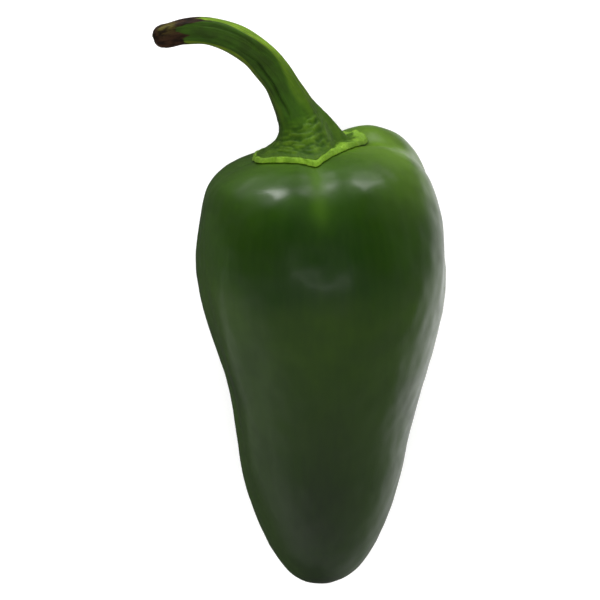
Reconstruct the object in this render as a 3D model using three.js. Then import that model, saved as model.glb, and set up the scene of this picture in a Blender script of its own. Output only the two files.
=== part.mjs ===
// A dark green chilli pepper of the broad, blunt kind, picked with its stalk and laid on its back.
//
// Millimetres, +Z up. The pepper lies on the plane Z = 0. X runs to the right and Y from the tip to the stalk.
// The origin is on that plane, under the middle of the whole pepper.
//
// Each solid is a closed skin over rings of points. The rings are worked out in the pod's own frame: x to the
// right, y along the pod's axis from the tip and z to the front, the side that ends up on top. An azimuth is
// an angle round the axis: 0 is right, 90 front, 180 left and 270 back. Then the neck is bent and the pepper
// is laid down.

import {
  BufferGeometry,
  CatmullRomCurve3,
  Float32BufferAttribute,
  Group,
  MathUtils,
  Mesh,
  MeshStandardMaterial,
  SplineCurve,
  Vector2,
  Vector3,
} from 'three';

const { clamp, degToRad, euclideanModulo, lerp, smoothstep } = MathUtils;

// Driving dimensions: the pod

const POD_LENGTH = 114;
const POD_RADIUS = 31.2;

// Half of the pod's outline, as shares of its radius and its length, from the middle of the crown to the tip.
// The first places step out evenly, so a radius on the crown is also a place along the curve.
const CROWN_STEP = 6;
const POD_OUTLINE = [
  [CROWN_STEP / POD_RADIUS * 0, 1],
  [CROWN_STEP / POD_RADIUS * 1, 0.997],
  [CROWN_STEP / POD_RADIUS * 2, 0.991],
  [CROWN_STEP / POD_RADIUS * 3, 0.979],
  [CROWN_STEP / POD_RADIUS * 4, 0.949],
  [0.892, 0.899],
  [0.97, 0.833],
  [1, 0.746],
  [0.965, 0.649],
  [0.878, 0.544],
  [0.785, 0.445],
  [0.708, 0.35],
  [0.647, 0.263],
  [0.561, 0.177],
  [0.44, 0.095],
  [0.295, 0.036],
  [0.145, 0.007],
  [0, 0],
];
const DEPTH_SHARE = 0.97;        // front to back, against side to side

// Furrows that run down from the crown. The top of one can lean round the pod from its foot.
const FURROWS = [
  { azimuth: 14, lean: -29, depth: 2.1, halfWidth: 13, foot: 60 },
  { azimuth: 87, lean: 0, depth: 1.3, halfWidth: 13, foot: 64 },
  { azimuth: 176, lean: 0, depth: 1, halfWidth: 14, foot: 84 },
  { azimuth: 268, lean: 0, depth: 2.4, halfWidth: 15, foot: 40 },
];
const FURROW_TOP = 104;          // full depth from here to the crown
const LEAN_FROM = 66;
const LEAN_TO = 108;

// Lobes that stand out and, with a minus, hollows. Widths are degrees, heights and amounts are millimetres.
const SWELLS = [
  { azimuth: 320, height: 107, halfWidth: 33, halfHeight: 13, amount: 4.7 },
  { azimuth: 178, height: 107, halfWidth: 34, halfHeight: 7, amount: 1 },
  { azimuth: 18, height: 96, halfWidth: 20, halfHeight: 14, amount: 1 },
  { azimuth: 244, height: 78, halfWidth: 22, halfHeight: 22, amount: 1.5 },
  { azimuth: 293, height: 78, halfWidth: 22, halfHeight: 22, amount: 1.4 },
  { azimuth: 182, height: 51, halfWidth: 40, halfHeight: 21, amount: -1.3 },
  { azimuth: 158, height: 58, halfWidth: 9, halfHeight: 28, amount: -0.8 },
  { azimuth: 0, height: 52, halfWidth: 40, halfHeight: 22, amount: 0.6 },
  { azimuth: 2, height: 80, halfWidth: 34, halfHeight: 12, amount: 0.8 },
];
const CROWN_EDGE = 19.2;         // furrows and swells fade out from this radius to the crown's middle
const FURROW_START = 8;
const SWELL_START = 9;

// The neck leans to the left along an arc between these heights.
const NECK_BEND = degToRad(6);
const BEND_FROM = 72;
const BEND_TO = 104;

// Driving dimensions: the calyx and the stalk

// The calyx is a rounded polygon: the directions in which its sides face, and their distances.
const CALYX_SIDES = [
  { azimuth: 35, distance: 9.7 },
  { azimuth: 119, distance: 11.9 },
  { azimuth: 172, distance: 14.3 },
  { azimuth: 221, distance: 11.9 },
  { azimuth: 296, distance: 11.9 },
  { azimuth: 341, distance: 14.9 },
];
const CORNER_SHARPNESS = 22;
const SEAT_GAP = 0.35;           // clearance between the calyx and the pod
const RIM_THICKNESS = 1.1;
const BAND_WIDTH = 1.3;          // flat rim outside the flare
const WIDE_BAND = { azimuth: 352, halfWidth: 40, extra: 3 };
const NECK_HEIGHT = 10.9;        // where the flare becomes the stalk
const NECK_SLANT = 1.4;          // higher on the right, the outside of the stalk's curve
const FLARE_LIFT = 1;
const FLARE_FULLNESS = 1.25;     // 1 draws the flare as an ellipse, and more as a straighter slope
const FULLER_RIGHT = 0.15;

// The stalk's centre line from the middle of the crown: right, up and to the front.
const STALK_LINE = [
  [0, 0, 0],
  [-1.6, 6.6, 0],
  [-4, 13.5, 0.1],
  [-6.6, 19.4, 0.7],
  [-10.5, 24.9, 1],
  [-15.7, 29.2, 1.2],
  [-21.6, 31.8, 1.4],
  [-27.6, 32.3, 1.4],
  [-32.8, 31.6, 1.2],
];
const UPRIGHT_FROM = 6;          // below this length the cross sections turn level, to sit on the crown

// The stalk's radius at equal steps along its line, and the ribs that make it slightly angular.
const STALK_RADII = [6.3, 5.9, 4.75, 4.25, 4.05, 3.85, 3.65, 3.3, 2.95];
const STALK_RIBS = [
  { azimuth: 46, height: 0.42 },
  { azimuth: 138, height: 0.36 },
  { azimuth: 205, height: 0.3 },
  { azimuth: 262, height: 0.36 },
  { azimuth: 322, height: 0.34 },
];
const RIB_HALF_WIDTH = 15;
const RIB_INSET = 0.18;
const END_ROUNDING = 2.2;
const END_DISH = 0.35;           // the dried cut end is slightly hollow

// Driving dimensions: how it lies

const LIE_TILT = degToRad(12.2); // the crown is higher than the tip
const LIE_HEIGHT = 12.55;        // the tip over the plane it lies on, which presses small flats underneath
const TIP_PLACE = new Vector3(4.88, -71.48, LIE_HEIGHT);

// Fineness of the faceted skins

const SIDES = 72;
const POD_RINGS = 40;
const SEAT_RINGS = 4;
const FLARE_RINGS = 7;
const STALK_RINGS = 20;
const END_RINGS = 3;

const RIGHT = new Vector3(1, 0, 0);
const UP = new Vector3(0, 1, 0);
const FRONT = new Vector3(0, 0, 1);

const podCurve = new SplineCurve(
  POD_OUTLINE.map(([across, along]) => new Vector2(across * POD_RADIUS, along * POD_LENGTH)),
);
const stalkCurve = new CatmullRomCurve3(
  STALK_LINE.map((point) => new Vector3(...point)), false, 'catmullrom', 0.5,
);
const stalkLength = stalkCurve.getLength();
const stalkRadiusCurve = new SplineCurve(STALK_RADII.map((radius, step) => new Vector2(step, radius)));

// 1 at the middle, falling smoothly to nothing a few half widths away.
function bump(distance, halfWidth) {
  return Math.exp(-((distance / halfWidth) ** 2));
}

// The angle from one azimuth to another, between -180 and 180 degrees.
function turn(azimuth, from) {
  return euclideanModulo(azimuth - from + 180, 360) - 180;
}

// How far the furrows and swells move the pod's surface outward, at a radius and a height of its outline.
function podRelief(azimuth, radius, height, onCrown) {
  const furrowShare = onCrown ? smoothstep(radius, FURROW_START, CROWN_EDGE) : 1;
  const swellShare = onCrown ? smoothstep(radius, SWELL_START, CROWN_EDGE) : 1;
  let relief = 0;
  for (const furrow of FURROWS) {
    const middle = furrow.azimuth + furrow.lean * smoothstep(height, LEAN_FROM, LEAN_TO);
    const fade = onCrown ? furrowShare : smoothstep(height, furrow.foot, FURROW_TOP);
    relief -= furrow.depth * fade * bump(turn(azimuth, middle), furrow.halfWidth);
  }
  for (const swell of SWELLS) {
    const across = bump(turn(azimuth, swell.azimuth), swell.halfWidth);
    const along = bump(height - swell.height, swell.halfHeight);
    relief += swell.amount * swellShare * across * along;
  }
  return relief;
}

// A point of the pod's skin before the neck is bent: a place from 0 at the crown to 1 at the tip, an azimuth
// and a lift above the skin.
function podPoint(place, azimuth, lift = 0) {
  const outline = podCurve.getPoint(place);
  const along = podCurve.getTangent(place);
  const onCrown = place * (POD_OUTLINE.length - 1) * CROWN_STEP < CROWN_EDGE;
  const out = podRelief(azimuth, outline.x, outline.y, onCrown) + lift;
  const radius = outline.x > 0 ? outline.x - along.y * out : 0;
  const height = outline.y + along.x * out;
  const angle = degToRad(azimuth);
  return new Vector3(radius * Math.cos(angle), height, radius * Math.sin(angle) * DEPTH_SHARE);
}

function bendNeck(point) {
  const share = clamp((point.y - BEND_FROM) / (BEND_TO - BEND_FROM), 0, 1);
  const angle = NECK_BEND * share;
  const arcRadius = (BEND_TO - BEND_FROM) / NECK_BEND;
  const pastArc = point.y - lerp(BEND_FROM, BEND_TO, share);
  const onArc = new Vector3(arcRadius * (Math.cos(angle) - 1), BEND_FROM + arcRadius * Math.sin(angle), 0);
  return new Vector3(point.x, pastArc, point.z).applyAxisAngle(FRONT, angle).add(onArc);
}

// From the pod's frame to the lying pepper's. Nothing reaches below the plane that it lies on.
function layDown(point) {
  const laid = bendNeck(point).applyAxisAngle(RIGHT, LIE_TILT).add(TIP_PLACE);
  laid.z = Math.max(laid.z, 0);
  return laid;
}

// A ring of points at one azimuth after the other.
function ring(pointAt) {
  return Array.from({ length: SIDES }, (_, side) => pointAt((side * 360) / SIDES));
}

// One closed skin over rings of points, listed from the bottom up, with a pole point at each end.
function skin(firstPole, rings, lastPole) {
  const points = [firstPole, ...rings.flat(), lastPole];
  const last = points.length - 1;
  const at = (row, side) => 1 + row * SIDES + (side % SIDES);
  const faces = [];
  for (let side = 0; side < SIDES; side += 1) {
    faces.push(0, at(0, side), at(0, side + 1));
    for (let row = 0; row < rings.length - 1; row += 1) {
      faces.push(at(row, side), at(row + 1, side), at(row, side + 1));
      faces.push(at(row, side + 1), at(row + 1, side), at(row + 1, side + 1));
    }
    faces.push(at(rings.length - 1, side), last, at(rings.length - 1, side + 1));
  }
  const geometry = new BufferGeometry();
  geometry.setAttribute('position', new Float32BufferAttribute(points.flatMap((p) => p.toArray()), 3));
  geometry.setIndex(faces);
  geometry.computeVertexNormals();
  return geometry;
}

function podGeometry() {
  const rings = [];
  for (let row = 1; row < POD_RINGS; row += 1) {
    rings.push(ring((azimuth) => layDown(podPoint(1 - row / POD_RINGS, azimuth))));
  }
  return skin(layDown(podPoint(1, 0)), rings, layDown(podPoint(0, 0)));
}

// The calyx's half width in one direction. The sum of powers rounds the polygon's corners.
function calyxRadius(azimuth) {
  const sum = CALYX_SIDES.reduce((total, side) => {
    const facing = Math.max(0, Math.cos(degToRad(azimuth - side.azimuth)));
    return total + (facing / side.distance) ** CORNER_SHARPNESS;
  }, 0);
  return sum ** (-1 / CORNER_SHARPNESS);
}

// A point over the pod's crown, measured from the middle of the crown.
function seatPoint(radius, azimuth, lift) {
  const place = radius / CROWN_STEP / (POD_OUTLINE.length - 1);
  const point = podPoint(place, azimuth, lift);
  point.y -= POD_LENGTH;
  return point;
}

// Moves a point that is drawn round a straight stalk onto the curved one, and the whole onto the pod.
function alongStalk(point) {
  const length = clamp(point.y, 0, stalkLength);
  const share = length / stalkLength;
  const direction = UP.clone().lerp(stalkCurve.getTangentAt(share), smoothstep(length, 0, UPRIGHT_FROM));
  direction.normalize();
  const right = new Vector3().crossVectors(direction, FRONT).normalize();
  const front = new Vector3().crossVectors(right, direction);
  const bent = stalkCurve.getPointAt(share)
    .addScaledVector(direction, point.y - length)
    .addScaledVector(right, point.x)
    .addScaledVector(front, point.z);
  bent.y += POD_LENGTH;
  return layDown(bent);
}

function stalkRadius(length, azimuth) {
  const radius = stalkRadiusCurve.getPoint(clamp(length / stalkLength, 0, 1)).y;
  const rib = STALK_RIBS.reduce((most, { azimuth: middle, height }) => (
    most + height * bump(turn(azimuth, middle), RIB_HALF_WIDTH)
  ), 0);
  return radius - RIB_INSET + rib * smoothstep(length, 3, 10) * (radius / STALK_RADII[3]);
}

function stalkPoint(radius, azimuth, length) {
  const angle = degToRad(azimuth);
  return alongStalk(new Vector3(radius * Math.cos(angle), length, radius * Math.sin(angle)));
}

// The calyx's underside follows the crown, and its rim is rounded over.
function seatRings() {
  const rings = [];
  for (let row = 1; row < SEAT_RINGS; row += 1) {
    const share = row / SEAT_RINGS;
    rings.push(ring((azimuth) => alongStalk(seatPoint(calyxRadius(azimuth) * share, azimuth, SEAT_GAP))));
  }
  const rimSection = [
    { out: -0.25, lift: 0 },
    { out: 0.05, lift: 0.35 * RIM_THICKNESS },
    { out: 0.05, lift: 0.7 * RIM_THICKNESS },
    { out: -0.35, lift: RIM_THICKNESS },
  ];
  for (const { out, lift } of rimSection) {
    rings.push(ring((azimuth) => (
      alongStalk(seatPoint(calyxRadius(azimuth) + out, azimuth, SEAT_GAP + lift))
    )));
  }
  return rings;
}

function neckHeight(azimuth) {
  return NECK_HEIGHT + NECK_SLANT * Math.cos(degToRad(azimuth));
}

// A point of the flare, which sweeps up from the rim's flat band to the neck along a hollow curve.
function flarePoint(share, azimuth) {
  const sweep = (share * Math.PI) / 2;
  const fullness = FLARE_FULLNESS + FULLER_RIGHT * Math.cos(degToRad(azimuth));
  const inward = Math.sin(sweep) ** fullness;
  const downward = Math.max(Math.cos(sweep), 0) ** fullness;
  const neck = stalkRadius(neckHeight(azimuth), azimuth);
  const band = BAND_WIDTH + WIDE_BAND.extra * bump(turn(azimuth, WIDE_BAND.azimuth), WIDE_BAND.halfWidth);
  const radius = lerp(calyxRadius(azimuth) - band, neck, inward);
  const foot = seatPoint(radius, azimuth, SEAT_GAP + RIM_THICKNESS);
  const footHeight = lerp(foot.y, SEAT_GAP + RIM_THICKNESS + FLARE_LIFT, inward);
  const height = lerp(neckHeight(azimuth), footHeight, downward);
  const spread = radius / Math.hypot(foot.x, foot.z);
  return alongStalk(new Vector3(foot.x * spread, height, foot.z * spread));
}

function stalkRings() {
  const rings = [];
  for (let row = 0; row <= FLARE_RINGS; row += 1) {
    rings.push(ring((azimuth) => flarePoint(row / FLARE_RINGS, azimuth)));
  }
  for (let row = 1; row <= STALK_RINGS; row += 1) {
    rings.push(ring((azimuth) => {
      const length = lerp(neckHeight(azimuth), stalkLength, row / STALK_RINGS);
      return stalkPoint(stalkRadius(length, azimuth), azimuth, length);
    }));
  }
  for (let row = 1; row <= END_RINGS; row += 1) {
    const angle = (row / END_RINGS) * (Math.PI / 2);
    const length = stalkLength + END_ROUNDING * Math.sin(angle);
    rings.push(ring((azimuth) => {
      const inset = END_ROUNDING * (1 - Math.cos(angle));
      return stalkPoint(stalkRadius(stalkLength, azimuth) - inset, azimuth, length);
    }));
  }
  return rings;
}

function stemGeometry() {
  const underside = alongStalk(seatPoint(0, 0, SEAT_GAP));
  const end = stalkPoint(0, 0, stalkLength + END_ROUNDING - END_DISH);
  return skin(underside, [...seatRings(), ...stalkRings()], end);
}

const podMaterial = new MeshStandardMaterial({ color: 0x2c421a, roughness: 0.32, metalness: 0 });
const stemMaterial = new MeshStandardMaterial({ color: 0x556f22, roughness: 0.5, metalness: 0 });

const pod = new Mesh(podGeometry(), podMaterial);
pod.name = 'pod';

const stemAndCalyx = new Mesh(stemGeometry(), stemMaterial);
stemAndCalyx.name = 'stem_and_calyx';

const chilliPepper = new Group();
chilliPepper.add(pod, stemAndCalyx);

export default chilliPepper;
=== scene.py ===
"""A dark green chilli pepper with its calyx and curved stalk, laid on its back on a pale floor.

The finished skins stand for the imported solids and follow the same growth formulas, with fine relief added.
Sizes in the growth formulas are millimetres. The meshes are metres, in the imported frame.
"""

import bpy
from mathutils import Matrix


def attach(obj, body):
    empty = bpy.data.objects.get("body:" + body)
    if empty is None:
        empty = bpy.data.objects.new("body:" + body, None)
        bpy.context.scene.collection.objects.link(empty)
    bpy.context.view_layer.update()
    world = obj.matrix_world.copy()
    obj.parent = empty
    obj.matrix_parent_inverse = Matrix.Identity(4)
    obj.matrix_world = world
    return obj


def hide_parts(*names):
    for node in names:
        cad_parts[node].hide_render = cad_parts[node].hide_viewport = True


bl_info = {
    "name": "Chilli pepper",
    "version": (1, 0, 0),
    "blender": (4, 5, 0),
    "location": "3D View > Sidebar > Chilli",
    "description": "Builds a green chilli pepper, its calyx and stalk, and a plain studio stage",
    "category": "Add Mesh",
}

import math

import bpy
import numpy as np
from mathutils import Vector

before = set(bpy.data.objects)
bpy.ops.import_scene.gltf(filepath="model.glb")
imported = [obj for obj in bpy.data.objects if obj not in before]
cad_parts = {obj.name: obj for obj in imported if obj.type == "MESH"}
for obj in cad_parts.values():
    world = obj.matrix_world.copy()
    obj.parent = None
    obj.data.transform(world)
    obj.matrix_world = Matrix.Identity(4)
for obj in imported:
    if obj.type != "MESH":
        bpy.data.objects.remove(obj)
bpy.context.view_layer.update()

MM = 0.001

# The pod's outline, as shares of its radius and its length, from the middle of the crown to the tip.
# The first places step out evenly, so a radius on the crown is also a place along the curve.
POD_LENGTH = 114
POD_RADIUS = 31.2
CROWN_STEP = 6
CROWN_HEIGHTS = (1, 0.997, 0.991, 0.979, 0.949)
POD_OUTLINE = (
    *((CROWN_STEP / POD_RADIUS * step, height) for step, height in enumerate(CROWN_HEIGHTS)),
    (0.892, 0.899),
    (0.97, 0.833),
    (1, 0.746),
    (0.965, 0.649),
    (0.878, 0.544),
    (0.785, 0.445),
    (0.708, 0.35),
    (0.647, 0.263),
    (0.561, 0.177),
    (0.44, 0.095),
    (0.295, 0.036),
    (0.145, 0.007),
    (0, 0),
)
DEPTH_SHARE = 0.97               # from front to back, of the width

# Furrows: azimuth, lean, depth, half width and foot. Azimuth 0 is right, 90 front, 180 left, 270 back.
FURROWS = (
    (14, -29, 2.1, 13, 60),
    (87, 0, 1.3, 13, 84),
    (176, 0, 1, 14, 84),
    (268, 0, 2.4, 15, 40),
)
DEEPEST_FURROW = max(furrow[2] for furrow in FURROWS)
FURROW_TOP = 104                 # full depth from this height to the crown
LEAN_FROM = 66
LEAN_TO = 108

# Swells and hollows: azimuth, height, half width in degrees, half height and amount.
SWELLS = (
    (320, 107, 33, 13, 4.7),
    (178, 107, 34, 7, 1),
    (18, 96, 20, 14, 1),
    (244, 78, 22, 22, 1.5),
    (293, 78, 22, 22, 1.4),
    (182, 51, 40, 21, -1.3),
    (158, 58, 9, 28, -0.8),
    (0, 52, 40, 22, 0.6),
    (2, 80, 34, 12, 0.8),
)

# On the crown the furrows and swells come in from these radii outwards.
CROWN_EDGE = 19.2
FURROW_START = 8
SWELL_START = 9

# The pod's fine relief: wavelengths, seed, and a share of the unevenness setting or a height of its own.
POD_LUMPS = (((34, 46, 34), 11, 0.5), ((13, 20, 13), 12, 0.14))
POD_GRAIN = ((4.5, 6, 4.5), 14, 0.03)
FOLDS = 23                       # small folds in the skin round the calyx
FOLD_WANDER = 1.6
FOLDS_AT = (1.5, 3.2)            # how far from the rim, and their half width
SMOOTH_BY_RIM = 5                # the lumps come in over this distance from the rim
TIP_BELOW = 30
TIP_DIMPLE = (2.6, 0.4)          # half width and depth
TIP_SCAR = (0.9, 0.35)           # half width and height
SCAR_COLOUR_WIDTH = 1.3
COLLAR_WIDTH = 7

# Where the pod's colours lie: azimuth, half width in degrees, and the heights between which they come in.
PALE_STREAK = (87, 5, 95, 110)
PALE_LOBE = (345, 42, 94, 107)
# The flanks outside this front get painted light.
FRONT = (90, 62)                 # between the flanks

# The crown leans to the left, along an arc between two heights.
NECK_BEND = math.radians(6)
BEND_FROM = 72
BEND_TO = 104

# The calyx is a rounded polygon: where its sides face, and their distances.
CALYX_SIDES = ((35, 9.7), (119, 11.9), (172, 14.3), (221, 11.9), (296, 11.9), (341, 14.9))
CORNER_SHARPNESS = 22
RIM_THICKNESS = 1.1
RIM_CREST = 1.08                 # height of the rim's inner edge, as a share of its thickness
RIM_REACH = 13                   # about the rim's radius, for its seeded waves
RIM_LIFT = 0.15                  # from the pod's skin to the rim's lower edge, with a thin shadow under it
BAND_WIDTH = 1.3
WIDE_BAND = (352, 40, 3)         # azimuth, half width and extra width
# On the wide band the rim colour is held back by this share: painted shade on the part that faces the light.
WIDE_BAND_SHADE = 0.42
TURNED_CORNERS = ((83, 9, 0.1), (166, 12, 0.2), (341, 9, 0.5))   # azimuth, half width, lift
BLUNT_CORNER = (83, 8, 0.5)      # azimuth, half width and how much shorter

# The rim's rolled edge: out from the calyx's outline, and up as a share of its thickness.
RIM_SECTION = (
    (-0.25, 0), (0.02, 0.02), (0.09, 0.1), (0.06, 0.2),
    (-0.1, 0.42), (-0.27, 0.64), (-0.44, 0.86), (-0.6, 1),
)
NECK_HEIGHT = 10.9
NECK_SLANT = 1.4                 # how much higher the neck is on the right, and lower on the left
FLARE_FULLNESS = (1.25, 0.15)    # of the flare's curve, 1 for an ellipse, and what the right side adds
FLARE_LIFT = 1
WRINKLED_FRONT = (95, 52, 0.15)  # azimuth, half width and what is left of the wrinkles behind

# The stalk's centre line from the middle of the crown: right, up and to the front.
STALK_LINE = (
    (0, 0, 0),
    (-1.6, 6.6, 0),
    (-4, 13.5, 0.1),
    (-6.6, 19.4, 0.7),
    (-10.5, 24.9, 1),
    (-15.7, 29.2, 1.2),
    (-21.6, 31.8, 1.4),
    (-27.6, 32.3, 1.4),
    (-32.8, 31.6, 1.2),
)
UPRIGHT_FROM = 6                 # below this length its cross-sections turn level with the crown
STALK_RADII = (6.3, 5.9, 4.75, 4.25, 4.05, 3.85, 3.65, 3.3, 2.95)
STALK_RIBS = ((46, 0.42), (138, 0.36), (205, 0.3), (262, 0.36), (322, 0.34))
RIB_HALF_WIDTH = 15
RIB_INSET = 0.18
RIB_GROWTH = (3, 10)             # the lengths between which the ribs rise from the neck
STALK_REACH = 4                  # about the stalk's radius, for its seeded relief
GROOVES = ((109, 5, 0.45, 7, 34), (57, 4, 0.2, 12, 46), (292, 6, 0.3, 6, 40), (182, 6, 0.26, 10, 40))
# Grooves get painted shade, in full at this depth.
FULL_GROOVE = 0.42               # how deep a groove has its full dark colour

# Colour bands on the stalk: painted light along its outer side and the paler inside of its bend, from and to
# an azimuth, and how many degrees wider they are near the calyx. They fade in between two lengths.
OUTER_BAND = (-39, 39, 26)
INNER_BAND = (130, 205, 0)
BANDS_FADE = (18, 29, 0.3)

# The dried end reaches further back along one streak, and less far along the strip beside it.
DRIED_REACH = 7.6
DRIED_STREAK = (12, 42, 4.6)
GREEN_STRIP = (60, 9, 1.4)
OLIVE_STRIP = (38, 30)
END_ROUNDING = 2.2
END_DISH = 0.56                  # depth of the hollow in the cut end
# Painted shade on the cut end's rounded edge and in its hollow, as shares of the groove shade.
EDGE_DARKNESS = 0.4
DISH_DARKNESS = 0.8

# Rows of points in each part of the stem's skin.
RIM_ROWS = 12
FLARE_ROWS = 70
STALK_ROWS = 190
END_ROWS = 22
DISH_ROWS = 10

# The pepper lies on its back: how its tip is raised, and where it is.
LIE_TILT = math.radians(12.2)
TIP_PLACE = (4.88, -71.48, 12.55)

# The camera stands as the photograph's does: over the lying pepper, a little towards its tip.
VIEW_LEAN = math.radians(3.8)
VIEW_TARGET = (-0.4, 2.4, 38.3)
VIEW_DISTANCE = 700
VIEW_WIDTH = 147.8
SENSOR_WIDTH = 36

# The lights: name, place, width and height in metres, share of the power, and whether gloss shows them.
LIGHTS = (
    ("overhead", (0, -0.1, 1.3), (1.8, 1.8), 1, False),
    ("stem_side_soft", (0.1, 1.3, 0.7), (1.4, 0.7), 0.6, False),
    ("left_box", (-0.43, 0.88, 0.19), (0.26, 0.4), 0.25, True),
    ("right_box", (0.38, 0.9, 0.15), (0.44, 0.34), 0.15, True),
    ("tip_side_strip", (0.02, -0.36, 1.13), (0.9, 0.13), 0.048, True),
    ("joining_box", (0, 1.0, 0.12), (0.9, 0.2), 0.022, True),
)
LIGHT_TARGET = (0, 0, 0.03)
FLOOR_GLOW = 0.5


def srgb(red, green, blue):
    """A colour seen on a screen, 0 to 255, as the linear values that Blender's shaders use."""
    def linear(value):
        share = value / 255
        return share / 12.92 if share <= 0.04045 else ((share + 0.055) / 1.055) ** 2.4
    return (linear(red), linear(green), linear(blue))


# Growth formulas


def smoothstep(x, low, high):
    """From 0 at one value to 1 at another, with soft ends."""
    t = np.clip((x - low) / (high - low), 0, 1)
    return t * t * (3 - 2 * t)


def bump(distance, half_width):
    """1 in the middle, falling off like a bell."""
    return np.exp(-((distance / half_width) ** 2))


def turn(azimuth, start):
    """The angle from one azimuth to another, between -180 and 180."""
    return (azimuth - start + 180) % 360 - 180


def blend(a, b, share):
    return a + (b - a) * share


def spline(points, before, after, place):
    """Points and unit tangents of a Catmull-Rom curve, for places from 0 to 1."""
    knots = np.array([before, *points, after], float)
    spans = len(points) - 1
    x = np.clip(place, 0, 1) * spans
    first = np.minimum(x.astype(int), spans - 1)
    w = (x - first)[..., None]
    a, b, c, d = (knots[first + step] for step in range(4))
    leave = (c - a) / 2
    reach = (d - b) / 2
    cubic = 2 * b - 2 * c + leave + reach
    square = -3 * b + 3 * c - 2 * leave - reach
    point = ((cubic * w + square) * w + leave) * w + b
    tangent = (3 * cubic * w + 2 * square) * w + leave
    return point, tangent / np.maximum(np.linalg.norm(tangent, axis=-1, keepdims=True), 1e-9)


def ripple(points, wavelengths, seed, waves=28):
    """A smooth random relief, about -2 to 2, from seeded waves in all directions."""
    random = np.random.default_rng(seed)
    directions = random.normal(size=(waves, 3))
    directions /= np.linalg.norm(directions, axis=1, keepdims=True)
    pace = random.uniform(0.7, 1.4, size=(waves, 1))
    phases = random.uniform(0, 2 * np.pi, size=waves)
    turns = (points / np.asarray(wavelengths, float)) @ (directions * pace).T
    return np.cos(2 * np.pi * turns + phases).sum(-1) / math.sqrt(waves / 2)


def furrow_depth(azimuth, radius, height, on_crown):
    """How deep the pod's furrows are, in millimetres."""
    depth = np.zeros(np.shape(radius + azimuth))
    for middle, lean, most, half_width, foot in FURROWS:
        leaned = middle + lean * smoothstep(height, LEAN_FROM, LEAN_TO)
        down = smoothstep(height, foot, FURROW_TOP)
        fade = np.where(on_crown, smoothstep(radius, FURROW_START, CROWN_EDGE), down)
        depth = depth + most * fade * bump(turn(azimuth, leaned), half_width)
    return depth


def swell_amount(azimuth, radius, height, on_crown):
    """How far the pod's lobes stand out, in millimetres."""
    amount = np.zeros(np.shape(radius + azimuth))
    for middle, at_height, half_width, half_height, most in SWELLS:
        across = most * bump(turn(azimuth, middle), half_width)
        amount = amount + across * bump(height - at_height, half_height)
    return amount * np.where(on_crown, smoothstep(radius, SWELL_START, CROWN_EDGE), 1)


def pod_point(place, azimuth, lift=0):
    """The pod's skin before its neck is bent, from place 0 at the crown to 1 at the tip."""
    outline = [(across * POD_RADIUS, along * POD_LENGTH) for across, along in POD_OUTLINE]
    point, tangent = spline(outline, outline[0], outline[-1], place)
    radius = point[..., 0]
    height = point[..., 1]
    on_crown = place * (len(POD_OUTLINE) - 1) * CROWN_STEP < CROWN_EDGE
    out = swell_amount(azimuth, radius, height, on_crown) - furrow_depth(azimuth, radius, height, on_crown)
    out = out + lift
    wide = np.where(radius > 1e-6, radius - tangent[..., 1] * out, 0)
    tall = height + tangent[..., 0] * out
    angle = np.radians(azimuth)
    return np.stack([wide * np.cos(angle), tall, wide * np.sin(angle) * DEPTH_SHARE], -1)


def bend_neck(point):
    """Leans the crown to the left along an arc."""
    share = np.clip((point[..., 1] - BEND_FROM) / (BEND_TO - BEND_FROM), 0, 1)
    angle = NECK_BEND * share
    arc_radius = (BEND_TO - BEND_FROM) / NECK_BEND
    past_arc = point[..., 1] - blend(BEND_FROM, BEND_TO, share)
    x = point[..., 0] * np.cos(angle) - past_arc * np.sin(angle) + arc_radius * (np.cos(angle) - 1)
    y = point[..., 0] * np.sin(angle) + past_arc * np.cos(angle) + BEND_FROM + arc_radius * np.sin(angle)
    return np.stack([x, y, point[..., 2]], -1)


def lay_down(point):
    """From the pod's own frame to the lying pepper's, pressed flat where it meets the floor."""
    x, y, z = np.moveaxis(bend_neck(point), -1, 0)
    cos, sin = math.cos(LIE_TILT), math.sin(LIE_TILT)
    laid = np.stack([x, y * cos - z * sin, y * sin + z * cos], -1) + TIP_PLACE
    laid[..., 2] = np.maximum(laid[..., 2], 0)
    return laid


def calyx_radius(azimuth):
    """The calyx's outline, a polygon with rounded corners."""
    total = 0
    for facing, distance in CALYX_SIDES:
        total = total + (np.maximum(0, np.cos(np.radians(azimuth - facing))) / distance) ** CORNER_SHARPNESS
    return total ** (-1 / CORNER_SHARPNESS)


def seat_point(radius, azimuth, lift):
    """A point over the crown, measured from the crown's middle."""
    point = pod_point(radius / CROWN_STEP / (len(POD_OUTLINE) - 1), azimuth, lift)
    return point - (0, POD_LENGTH, 0)


class StalkLine:
    """The stalk's curved centre line, by length."""

    def __init__(self):
        points = np.array(STALK_LINE, float)
        before = 2 * points[0] - points[1]
        after = 2 * points[-1] - points[-2]
        self.points, self.tangents = spline(points, before, after, np.linspace(0, 1, 800))
        steps = np.linalg.norm(np.diff(self.points, axis=0), axis=1)
        self.lengths = np.concatenate([[0], np.cumsum(steps)])
        self.length = self.lengths[-1]

    def at(self, length):
        """Points and directions at these lengths."""
        point = np.stack([np.interp(length, self.lengths, column) for column in self.points.T], -1)
        direction = np.stack([np.interp(length, self.lengths, column) for column in self.tangents.T], -1)
        return point, direction


STALK = StalkLine()


def along_stalk(x, y, z):
    """Moves a point drawn round a straight stalk onto the curved one, and the whole onto the pod."""
    length = np.clip(y, 0, STALK.length)
    centre, tangent = STALK.at(length)
    level = smoothstep(length, 0, UPRIGHT_FROM)[..., None]
    direction = blend(np.array((0, 1.0, 0)), tangent, level)
    direction /= np.linalg.norm(direction, axis=-1, keepdims=True)
    right = np.cross(direction, (0, 0, 1.0))
    right /= np.linalg.norm(right, axis=-1, keepdims=True)
    front = np.cross(right, direction)
    point = centre + direction * (y - length)[..., None] + right * x[..., None] + front * z[..., None]
    return lay_down(point + (0, POD_LENGTH, 0))


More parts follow.
